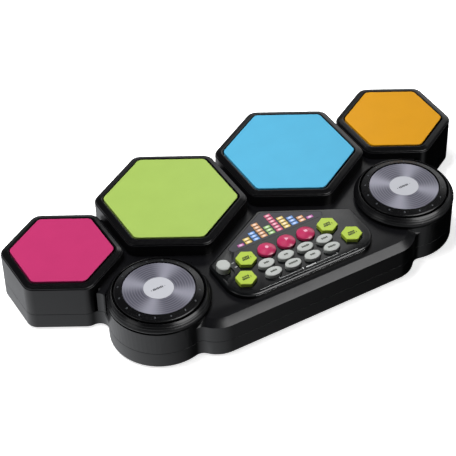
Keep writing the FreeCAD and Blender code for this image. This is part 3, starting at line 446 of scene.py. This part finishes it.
def grooves(inner, outer, pitch, depth, level, steps=6):
    """Profile of a record's face from outside to inside: level - depth * (1 - cos(2 pi r / pitch)) / 2."""
    radius = np.linspace(outer, inner, int((outer - inner) / pitch * steps) + 1)
    return np.stack([radius, level - depth * (1 - np.cos(2 * np.pi * (outer - radius) / pitch)) / 2], -1)


def record_finish(side):
    """Silver with fine pale rings, and four soft bright lobes that lead out from the middle: the lobes are
    a painted highlight, the lights' reflection in the grooves put into the colour.
    """
    ring_pitch = 0.0023
    finish = Finish("record_silver_" + side, metallic=0.25)
    finish.feed("Specular IOR Level", 0.3)
    place = finish.place((*(middle("record_disc_" + side) * mm), 0))
    x, y = place.axis("X"), place.axis("Y")
    radius = (x * x + y * y).math("SQRT")
    angle = y.math("ARCTAN2", x)
    # Four bright lobes by angle: a painted highlight standing in for the grooves' reflection of the lights.
    painted_sheen_lobe = (0.5 - 0.5 * (4 * angle).math("COSINE")).math("POWER", 2.0)
    ring = 0.5 + 0.5 * (radius * (2 * math.pi / ring_pitch)).math("COSINE")
    ring = ring.math("POWER", 4.0) * (1 - 0.8 * painted_sheen_lobe)
    cloud = finish.noise(0.008, place, 3.0)
    silver = finish.tint(painted_sheen_lobe, colour(76, 76, 86), colour(138, 138, 149))
    silver = finish.tint(0.32 * ring, silver, colour(155, 155, 165))
    finish.feed("Base Color", finish.tint(0.15 * cloud, silver, colour(98, 92, 114)))
    finish.feed("Roughness", 0.32 + 0.1 * cloud)
    return finish


label_paper = satin("label_paper", colour(167, 168, 174), 0.5, 0.3, 0.03)
print_dark = satin("print_dark", colour(60, 60, 64), 0.5, 0.3, 0.1)
platter_black = gloss("platter_black", colour(9, 9, 10), 0.24, 0.22)
stud_grey = satin("stud_grey", colour(52, 54, 58), 0.4, 0.3, 0.05)


def plates(name, centres, lengths, widths, turns, low, thick, finish, body):
    """Thin flat-topped printed marks: one box for each row of centre, length, width and turn."""
    centres = np.asarray(centres, float)
    count = len(centres)
    half = np.stack([np.broadcast_to(lengths, count), np.broadcast_to(widths, count)], -1) / 2
    turns = np.broadcast_to(turns, count)
    signs = np.array([[-1, -1], [1, -1], [1, 1], [-1, 1]])
    local = signs[None] * half[:, None]
    cos, sin = np.cos(turns)[:, None], np.sin(turns)[:, None]
    flat = centres[:, None] + np.stack([local[..., 0] * cos - local[..., 1] * sin,
                                        local[..., 0] * sin + local[..., 1] * cos], -1)
    levels = np.broadcast_to(np.array([low, low + thick])[None, :, None, None], (count, 2, 4, 1))
    points = np.concatenate([np.repeat(flat[:, None], 2, 1), levels], -1).reshape(-1, 3)
    cube = np.array([[3, 2, 1, 0], [4, 5, 6, 7], [0, 1, 5, 4], [1, 2, 6, 5], [2, 3, 7, 6], [3, 0, 4, 7]])
    faces = (cube[None] + 8 * np.arange(count)[:, None, None]).reshape(-1, 4).tolist()
    piece = surface(name, points * mm, faces, finish, smooth=False)
    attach(piece, body)


bezel_r, foot_r, bezel_bore, lip_bore = 44.6, 43.2, 38.6, 39.8
platter_r, dish_r, platter_bore = 38.1, 31.7, 4.0
disc_r, groove_low, groove_high, label_r = 30.8, 14.0, 29.6, 12.9
edge_z, crest_z, record_z, label_z = 9.9, 12.4, 11.6, 11.9     # above the bezel's foot
ring_points, disc_points = 160, 144
stud_count, stud_points, stud_circle = 16, 12, 34.5
stud = np.array([[0.9, -0.35], [0.85, 0.1], [0.6, 0.3], [0.25, 0.38]])     # radius and height
mark_at = np.array([-6.8, -4.8, -3.4, -2.0, -0.6, 0.8, 2.2, 3.6, 5.6, 6.4])
mark_tall = np.array([1.2, 2.0, 2.2, 1.9, 2.3, 1.9, 2.2, 2.0, 0.7, 0.5])
ink = 0.03      # thickness of a printed mark
for side in ("left", "right"):
    centre = middle("turntable_bezel_" + side)
    seat = height("turntable_bezel_" + side, 0.0)
    spin = "platter_" + side
    record_top, label_top = seat + record_z, seat + label_z

    share = np.linspace(0, 1, 37)
    fine_grooves = 0.12 * np.exp(-((share[:, None] - [0.3, 0.6]) / 0.03) ** 2).sum(1)
    bulge = 0.25 * np.sin(np.pi * share) - fine_grooves
    shoulder = np.stack([bezel_r - 4.2 * share + bulge, seat + 3.2 + 6.1 * share + bulge], -1)
    foot = softened([(bezel_bore, seat), (foot_r, seat), (foot_r, seat + 2.6), (bezel_r, seat + 2.6)], 0.15)
    lip = softened([(40.4, seat + 9.3), (lip_bore, seat + 9.1), (lip_bore, seat + 2.2)], 0.3)
    ring = np.vstack([foot, shoulder, lip, [(bezel_bore, seat + 2.2)]])
    disc_outline = circle(centre, steps=disc_points)
    ring_outline = circle(centre, steps=ring_points)
    bezel = "turntable_bezel_" + side
    banded(bezel + "_moulding", ring_outline, ring, rim_black, "root", bezel, loop=True)

    plate = softened([(8.0, seat + 7.7), (36.1, seat + 7.7), (36.1, seat + 3.9), (platter_r, seat + 3.9),
                      (platter_r, seat + edge_z), (dish_r, seat + crest_z), (31.3, seat + 10.1),
                      (platter_bore, seat + 10.1)],
                     (0.3, 0.3, 0.3, 1.0, 0.2, 0.2))
    banded(spin + "_moulding", ring_outline, plate, platter_black, spin, spin, start=True,
           end=True)

    face = np.vstack([[(30.5, seat + 10.15), (disc_r, seat + 10.4), (disc_r, seat + 11.4)],
                      [(30.6, seat + 11.58), (29.9, record_top)],
                      grooves(groove_low, groove_high, 0.975, 0.02, record_top),
                      [(13.6, record_top), (10.0, record_top)]])
    banded("record_" + side, disc_outline, face, record_finish(side), spin, "record_disc_" + side,
           start=True, end=True)
    paper = softened([(label_r, record_top), (label_r, label_top), (11.9, label_top)], 0.08)
    banded("label_" + side, circle(centre), paper, label_paper, spin, "record_label_" + side,
           end=True)
    marks = centre + np.stack([mark_at, np.zeros(len(mark_at))], -1)
    plates("label_mark_%s" % side, marks, 0.5 * mark_tall, mark_tall, 0.0, label_top, ink, print_dark, spin)

    turn = np.radians(360 / stud_count * np.arange(stud_count) + 11.25)[:, None, None]
    around = np.linspace(0, 2 * np.pi, stud_points, endpoint=False)[None, None]
    out = stud[:, 0][None, :, None] * np.cos(around)
    across = stud[:, 0][None, :, None] * np.sin(around)
    radius = stud_circle + out
    slope = (platter_r - radius) * (crest_z - edge_z) / (platter_r - dish_r)
    lift = seat + edge_z + slope + stud[:, 1][None, :, None]
    place_x = centre[0] + radius * np.cos(turn) - across * np.sin(turn)
    place_y = centre[1] + radius * np.sin(turn) + across * np.cos(turn)
    studs = np.stack([place_x, place_y, np.broadcast_to(lift, place_x.shape)], -1)
    levels = len(stud)
    grid = np.arange(levels * stud_points).reshape(levels, stud_points)
    here, there = grid[:-1], grid[1:]
    quads = np.stack([here, np.roll(here, -1, 1), np.roll(there, -1, 1), there], -1).reshape(-1, 4)
    start = grid.size * np.arange(stud_count)[:, None]
    faces = (quads[None] + start[..., None]).reshape(-1, 4).tolist() + (grid[-1][None] + start).tolist()
    dots = surface("platter_studs_%s" % side, studs.reshape(-1, 3) * mm, faces, stud_grey)
    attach(dots, spin)

# ---- Control panel and display ------------------------------------------------------------------
# A raised black panel carries the buttons. Its rear part is a smoked window, so dark that only the lamp
# cells printed on it show, set flush in a ledge of the panel.
panel_black = black_plastic("panel_black", colour(10, 11, 12), 0.2, 0.000004, 0.3)
moulded("control_panel", panel_black, edge=0.15 * mm)

window_smoke = Finish("window_smoke", roughness=0.14)
window_smoke.feed("Specular IOR Level", 0.2)
smoke_place = window_smoke.place()
cloud = window_smoke.noise(0.03, smoke_place, 2.0)
window_smoke.feed("Base Color", window_smoke.tint(cloud, colour(31, 31, 38), colour(37, 37, 43)))
window_smoke.feed("Normal", window_smoke.relief(window_smoke.noise(0.03, smoke_place, 0.0), 0.000004))
moulded("display_window", window_smoke, edge=0.1 * mm)

# ---- Push buttons -------------------------------------------------------------------------------
# Three glossy domes, four lime hexagonal keys and eight pale oval keys, all moulded caps with printed
# marks. Each stands in its own hole in the panel and drops 1.3 mm onto the rubber keypad.
panel_z = height("control_panel")
cap_foot = panel_z - 3.0


def ellipse(centre, half_x, half_y, steps=48):
    """Outline of an ellipse, with its true outward ways."""
    angle = np.linspace(0, 2 * np.pi, steps, endpoint=False)
    outward = np.stack([half_y * np.cos(angle), half_x * np.sin(angle)], -1)
    outward /= np.linalg.norm(outward, axis=1, keepdims=True)
    return centre + np.stack([half_x * np.cos(angle), half_y * np.sin(angle)], -1), outward


def spherical(radius, level, rim, rise):
    """Height of a dome at a radius: the sphere through its rim at level and its top, rise above it."""
    ball = (rim ** 2 + rise ** 2) / (2 * rise)
    return level + rise - ball + np.sqrt(ball ** 2 - radius ** 2)


dome_pink = gloss("dome_pink", colour(155, 42, 78), 0.18, 0.4)
print_pale = satin("print_pale", colour(206, 152, 172), 0.5, 0.3, 0.02)
dome_r, dome_rise = 8.1, 2.6
hex_r, hex_corner = 9.4, 0.8
oval_x, oval_y = 7.7, 5.15
symbols = {"left": 1.5 * circle(np.zeros(2), 1.0, 24)[0],
           "middle": np.array([[2.0, 0], [0.5, 0.95], [-1.1, 1.8], [-1.1, 0], [-1.1, -1.8], [0.5, -0.95]]),
           "right": 1.4 * np.array([[1, 0], [1, 1], [0, 1], [-1, 1], [-1, 0], [-1, -1], [0, -1], [1, -1]])}
for name, symbol in symbols.items():
    node = "dome_button_" + name
    centre = middle(node)
    wall = height(node) - dome_rise
    radius = np.concatenate([[dome_r], dome_r - 0.25 * np.array([0.35, 1.0]), np.linspace(7.4, 0.6, 12)])
    level = spherical(radius, wall, dome_r, dome_rise) - np.array([0.45, 0.12] + [0] * 13)
    profile = np.vstack([[(dome_r, cap_foot)], np.stack([radius, level], -1)])
    banded(node + "_cap", circle(centre), profile, dome_pink, node, node, end=True)
    share = np.array([1.0, 0.75, 0.5, 0.25])[:, None]
    flat = share[..., None] * symbol[None]
    lift = spherical(np.linalg.norm(flat, axis=-1), wall, dome_r, dome_rise) + 0.04
    rings = np.concatenate([flat + centre, lift[..., None]], -1)
    skin(node + "_symbol", rings, print_pale, node, end=True)

hex_lime = satin("hex_lime", colour(152, 174, 58), 0.3, 0.3)
print_black = satin("print_black", colour(28, 32, 20), 0.5, 0.3, 0.1)
print_x = np.array([-2.6, -1.3, 0.0, 1.3, 2.6, -3.6, -2.3, -0.9, 0.5, 1.9, 4.2])
print_y = np.array([1.15, 1.15, 1.15, 1.15, 1.15, -1.15, -1.15, -1.15, -1.15, -1.15, -0.8])
print_long = np.array([1.1, 1.0, 1.1, 1.0, 1.1, 1.1, 1.2, 1.2, 1.1, 1.2, 0.7])
print_tall = np.array([1.8, 1.6, 1.9, 1.6, 1.9, 2.0, 1.8, 2.1, 1.8, 2.0, 1.5])
for name in ("back_left", "back_right", "front_left", "front_right"):
    node = "hex_button_" + name
    centre, crown = middle(node), height(node)
    cap = softened([(0.0, cap_foot), (0.0, crown), (-0.79, crown)], 0.6)
    outline = hexagon(centre, hex_r * math.cos(math.pi / 6), hex_corner, 4)
    banded(node + "_cap", outline, cap, hex_lime, node, node, end=True)
    marks = centre + np.stack([print_x, print_y], -1)
    plates(node + "_marks", marks, print_long, print_tall, 0.0, crown, ink, print_black, node)

key_grey = satin("key_grey", colour(160, 163, 160), 0.32, 0.35, 0.04)
key_marks = {"back_1": 4, "back_2": 3, "back_3": 6, "back_4": 5, "front_1": 5, "front_2": 7, "front_3": 4,
             "front_4": 6}
for name, count in key_marks.items():
    node = "oval_button_" + name
    centre, crown = middle(node), height(node)
    cap = softened([(0.0, cap_foot), (0.0, crown - 0.15), (-2.5, crown)], 0.9)
    outline = ellipse(centre, oval_x, oval_y)
    banded(node + "_cap", outline, cap, key_grey, node, node, end=True)
    along = (np.arange(count) - (count - 1) / 2) * 1.25
    marks, tall = centre + np.stack([along, np.zeros(count)], -1), 2.0 - 0.4 * (np.arange(count) % 2)
    plates(node + "_marks", marks, 1.05, tall, 0.0, crown, ink, print_black, node)

# ---- Slide switch knob --------------------------------------------------------------------------
# A pale moulded knob with round ends and a well rounded top edge. It slides 5 mm forwards in a dark
# recess of the panel, on a stem that reaches down into a small switch on the board.
knob_centre, knob_top = middle("slide_knob"), height("slide_knob")


def racetrack(centre, radius, straight, steps=24):
    """Outline with round ends, long in Y: two half circles whose middles are straight apart."""
    angle = np.linspace(0, 2 * np.pi, 2 * steps, endpoint=False) + np.pi / 2 / steps
    outward = np.stack([np.cos(angle), np.sin(angle)], -1)
    shift = np.stack([np.zeros(2 * steps), np.where(np.sin(angle) > 0, 0.5, -0.5) * straight], -1)
    return centre + shift + radius * outward, outward


knob_r, knob_straight = 5.9, 1.2
knob = softened([(0.0, panel_z - 0.9), (0.0, knob_top - 0.1), (-3.0, knob_top)], 1.5, 7)
outline = racetrack(knob_centre, knob_r, knob_straight)
banded("slide_knob_cap", outline, knob, key_grey, "slide_knob", "slide_knob", end=True)

# ---- Printed lines ------------------------------------------------------------------------------
# Pale ink printed on the panel: a bracket with a small title in front of the keys, a line along the front
# of the flat, and two ticks beside the switch. A pale line low on the rounded front edge is a painted
# highlight of that edge.
print_white = satin("print_white", colour(206, 208, 208), 0.5, 0.3, 0.02)
print_soft = satin("print_soft", colour(172, 174, 174), 0.5, 0.3, 0.02)
pads_y = middle("pad_inner_left")[1]
front_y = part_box("control_panel")[0][1] / mm
edge_round, corner_round, straight_half = 2.2, 23.0, 49.0


def edge_line(name, inset, half, width, tone):
    """A thin pale line at a constant inset from the panel's front edge (print at inset 3.1, a painted
    highlight of the edge at inset 0): y bends with the corner's arc past the straight part, and z = top -
    round + sqrt(round^2 - (round - inset)^2) on the rounding."""
    x = np.linspace(-half, half, 81)
    bend = corner_round - inset
    past = np.maximum(np.abs(x) - straight_half, 0.0)
    y = front_y + inset + bend - np.sqrt(bend ** 2 - past ** 2)
    lean = max(0.0, edge_round - inset) / edge_round
    rise = math.sqrt(1 - lean ** 2)
    z = panel_z - edge_round + edge_round * rise
    across, out = np.array([0, rise, lean]) * width / 2, np.array([0, -lean, rise])
    line = np.stack([x, y, np.full_like(x, z)], -1)[:, None]
    top = 0.04 * out
    section = np.stack([across, across + top, -across + top, -across])
    skin(name, line + section[None], tone, "root", start=True, end=True)


edge_line("panel_line_inner", 3.1, straight_half, 0.26, print_soft)
# The outer line is a painted highlight: the front edge's shine, drawn in the pale print colour.
edge_line("panel_edge_highlight_painted", 0.0, 55.0, 0.4, print_white)
bracket_y = front_y + 6.4
bracket = [(-16.9, 0, 21.2, 0.32), (19.95, 0, 20.9, 0.32), (-27.5, 0.9, 0.3, 2.0), (30.4, 0.9, 0.3, 2.0)]
title = [(-4.5, 0.2, 0.8, 1.9)] + [(-1.0 + 1.25 * k, 0.1, 0.9, 1.3 if k % 3 else 0.9) for k in range(8)]
for name, rows, tone in (("panel_bracket", bracket, print_soft), ("panel_title", title, print_white)):
    bars = np.array(rows)
    places = bars[:, :2] + np.array([0, bracket_y])
    plates(name, places, bars[:, 2], bars[:, 3], 0.0, panel_z, ink, tone, "root")
print_dim = satin("print_dim", colour(150, 152, 152), 0.5, 0.3, 0.02)
ticks = np.array([[-52.4, pads_y - 92.6], [-52.6, pads_y - 98.3]])
plates("switch_ticks", ticks, 2.6, 0.8, 0.0, panel_z, ink, print_dim, "root")

# ---- Display lamps ------------------------------------------------------------------------------
# Ten columns of small lamps shine through clear light guides and through colour filters printed on the
# smoked window. Each cell is deep in colour at its edge and nearly white over the lamp.
lamp_tones = [(176, 52, 146), (220, 186, 60), (70, 138, 214), (208, 140, 72), (130, 178, 80),
              (206, 44, 104), (220, 186, 64), (74, 136, 212), (210, 144, 80), (180, 66, 158)]
columns = (1, 2, 3, 5, 3, 6, 4, 3, 2, 1)
cell_x, cell_y, pitch_x, pitch_y = 6.0, 3.1, 7.82, 4.1
lamp_power = 0.75
cell_top = height("display_window")
first_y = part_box("light_guides")[0][1] / mm + cell_y / 2
for index, (tone, count) in enumerate(zip(lamp_tones, columns)):
    x = (index - 4.5) * pitch_x
    lamp = Finish("lamp_%d" % index, roughness=0.3)
    spot = lamp.place((x * mm, first_y * mm, 0))
    across = spot.axis("X") / (cell_x / 2 * mm)
    row = spot.axis("Y") / (pitch_y * mm)
    deep = (row - row.math("ROUND")) / (cell_y / 2 / pitch_y)
    glow = 1 - (across * across * 1.5 + deep * deep).within(0.0, 1.0)
    lit = [0.4 * c + 0.9 for c in colour(*tone)[:3]] + [1]
    lamp.feed("Base Color", [0.15 * c for c in colour(*tone)[:3]] + [1])
    lamp.feed("Emission Color", lamp.tint(0.8 * glow, colour(*tone), lit))
    lamp.feed("Emission Strength", lamp_power)
    cells = np.stack([np.full(count, x), first_y + pitch_y * np.arange(count)], -1)
    plates("lamp_column_%d" % index, cells, cell_x, cell_y, 0.0, cell_top, ink, lamp, "root")

# ---- Board, keypad and light guides -------------------------------------------------------------
# Under the panel a green glass-fibre board stands on posts, held by small screws. It carries the moulded
# silicone keypad, the clear light guides and the slide switch.


def dressed(finish, *nodes):
    """Gives the CAD nodes' own shapes a finish."""
    for node in nodes:
        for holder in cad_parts[node].material_slots:
            holder.material = finish.material


board_green = Finish("board_green", roughness=0.35)
board_place = board_green.place()
lane_pitch = 0.0016
lane = (board_place.axis("X") + 0.4 * board_green.noise(0.02, board_place, 0.0)) / lane_pitch
track = (lane - lane.math("ROUND")).math("ABSOLUTE") < 0.16
broken = board_green.noise(0.006, board_place, 0.0) > 0.5
board_green.feed("Base Color", board_green.tint(track * broken, colour(14, 84, 48), colour(38, 128, 74)))
board_green.feed("Normal", board_green.relief(track * broken, 0.00003))
dressed(board_green, "main_board")

guide_clear = Finish("guide_clear", roughness=0.12)
guide_place = guide_clear.place()
guide_clear.feed("Base Color", guide_clear.tint(guide_clear.noise(0.004, guide_place), colour(52, 54, 58),
                                                colour(64, 66, 70)))
dressed(guide_clear, "light_guides")


def rubber(name, tone, roughness=0.8):
    """Matte moulded rubber with a dusty, finely pitted face."""
    finish = Finish(name)
    finish.feed("Specular IOR Level", 0.25)
    place = finish.place()
    dust = finish.noise(0.006, place, 4.0)
    pits = finish.noise(0.0004, place, 1.0)
    pale = [min(1, c * 1.5 + 0.01) for c in tone[:3]] + [1]
    finish.feed("Base Color", finish.tint(dust.within(0.45, 0.75), tone, pale))
    finish.feed("Roughness", roughness - 0.1 + 0.2 * dust)
    finish.feed("Normal", finish.relief(pits, 0.00002))
    return finish


dressed(rubber("keypad_silicone", colour(150, 150, 150)), "rubber_keypad")
dressed(rubber("sensor_rubber", colour(40, 96, 62)), "pad_sensors")
inner_black = black_plastic("inner_black", colour(30, 30, 32), 0.45, 0.00001, 0.4)
dressed(inner_black, "slide_switch", "encoder_sensors", "encoder_wheel_left", "encoder_wheel_right",
        "platter_bushing_left", "platter_bushing_right")

# ---- Foam rings under the pads ------------------------------------------------------------------
# A soft ring of open-cell foam lifts each pad back after a hit. It is punched from sheet and stands on
# the pod's floor, inside the ring of the pad's snap legs.
foam_grey = Finish("foam_grey", roughness=0.95)
foam_place = foam_grey.place()
cells = foam_grey.node("ShaderNodeTexVoronoi", {}, {"Vector": foam_place, "Scale": 1400.0})
foam_grey.feed("Base Color", foam_grey.tint(cells, colour(44, 44, 46), colour(118, 118, 120)))
foam_grey.feed("Normal", foam_grey.relief(cells, 0.0003))
dressed(foam_grey, *["pad_return_ring_" + place_name for place_name in pad_tones])

# ---- Speaker ------------------------------------------------------------------------------------
# A plain paper cone in a pressed steel basket with thin dark paint, fixed behind the slotted grille in
# the case's floor.
cone_paper = Finish("cone_paper", roughness=0.9)
paper_place = cone_paper.place()
fibre = cone_paper.noise(0.0008, paper_place, 4.0)
cone_paper.feed("Base Color", cone_paper.tint(fibre, colour(24, 24, 25), colour(62, 61, 60)))
cone_paper.feed("Normal", cone_paper.relief(fibre, 0.0002))
dressed(cone_paper, "speaker_cone")
dressed(black_plastic("basket_paint", colour(44, 44, 47), 0.35, 0.00002, 0.5), "speaker_frame")

# ---- Battery door, feet and screws --------------------------------------------------------------
# Seen from below: the grained door with its finger grooves, six glued rubber feet and seven zinc-plated
# screws at the bottom of their wells.
moulded("battery_door", case_black, "battery_door", edge=0.2 * mm)
moulded("rubber_feet", rubber("foot_rubber", colour(34, 34, 35)), edge=0.5 * mm)


def plated(name, tone, dull, roughness=0.3):
    """Plated metal, bright with duller patches and a fine turned grain."""
    finish = Finish(name, metallic=1.0)
    place = finish.place()
    patch = finish.noise(0.003, place, 3.0)
    grain = finish.noise(0.0003, place, 1.0)
    finish.feed("Base Color", finish.tint(patch.within(0.4, 0.7), tone, dull))
    finish.feed("Roughness", roughness - 0.1 + 0.25 * patch)
    finish.feed("Normal", finish.relief(grain, 0.000008))
    return finish


zinc = plated("zinc", colour(176, 178, 182), colour(140, 142, 148))
for node in ("case_screws", "board_screws"):
    moulded(node, zinc, edge=0.1 * mm)

# ---- Batteries and contacts ---------------------------------------------------------------------
# Four cells with a printed jacket and steel ends lie side by side above the door. Sprung contacts of
# plated brass press on their ends.
cell_jacket = Finish("cell_jacket", roughness=0.3)
jacket_place = cell_jacket.place()
cell_half = 24.2 * mm
end_cap = (jacket_place.axis("X").math("ABSOLUTE") > cell_half) * 1.0
scuff = cell_jacket.noise(0.004, jacket_place, 3.0)
jacket = cell_jacket.tint(scuff, colour(40, 46, 58), colour(54, 60, 74))
cell_jacket.feed("Base Color", cell_jacket.tint(end_cap, jacket, colour(190, 190, 194)))
cell_jacket.feed("Metallic", end_cap)
cell_jacket.feed("Normal", cell_jacket.relief(scuff, 0.00001))
dressed(cell_jacket, "batteries")
dressed(plated("contact_nickel", colour(206, 184, 128), colour(176, 156, 108)), "battery_contacts")
